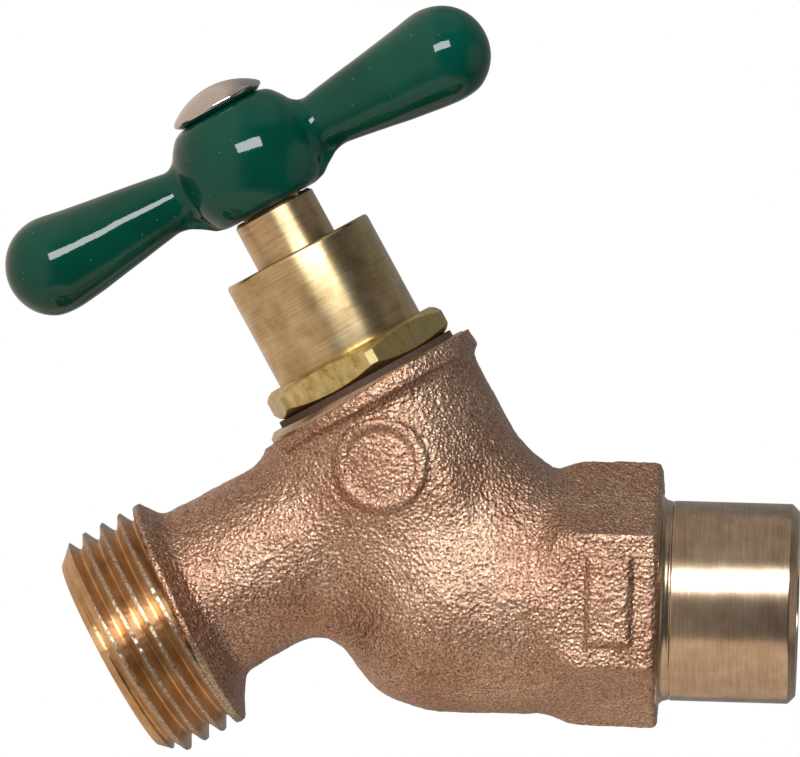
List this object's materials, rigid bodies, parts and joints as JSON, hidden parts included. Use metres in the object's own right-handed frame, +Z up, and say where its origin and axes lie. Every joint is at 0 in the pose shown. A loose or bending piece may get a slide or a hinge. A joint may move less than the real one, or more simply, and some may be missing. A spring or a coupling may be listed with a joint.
{
  "type": "hose bib",
  "caption": "Angled garden hose tap in cast bronze, with a copper-tube inlet, a threaded hose outlet and a green T-handle that screws the stem up and down.",
  "frame": {"origin": "centre of the inlet's mouth face, on the inlet's axis", "axes": "+X out of the inlet along its axis, +Z up; the stem leans back 30 degrees from +Z towards -X, and the outlet points 30 degrees below -X"},
  "size_m": [0.0893, 0.027, 0.0837],
  "materials": {
    "cast_bronze": "sand cast, with turned spigot, thread and neck face",
    "turned_brass": "turned and as-drawn brass",
    "green_enamel": "thick glossy enamel",
    "plated_steel": "nickel plated",
    "black_rubber": "moulded",
    "fibre": "pressed fibre"
  },
  "bodies": {
    "valve_body": {"body": "cast_bronze", "bonnet_gasket": "fibre", "bonnet": "turned_brass", "stem_o_ring_lower": "black_rubber", "stem_o_ring_upper": "black_rubber"},
    "washer": {"seat_washer": "black_rubber"},
    "spindle": {"stem": "turned_brass", "washer_screw": "turned_brass", "handle": "green_enamel", "handle_screw": "plated_steel"}
  },
  "joints": [
    {"name": "stem_lift", "type": "slide", "parent": "valve_body", "child": "washer", "axis": [-0.5, 0, 0.866], "range_m": [0, 0.00762]},
    {"name": "handle_turn", "type": "hinge", "parent": "washer", "child": "spindle", "pos_m": [-0.035, 0, 0], "axis": [-0.5, 0, 0.866], "range_deg": [0, 1080]}
  ],
  "couplings": [
    {"joint": "stem_lift", "follows": "handle_turn", "m_per_rad": 0.00040425}
  ]
}
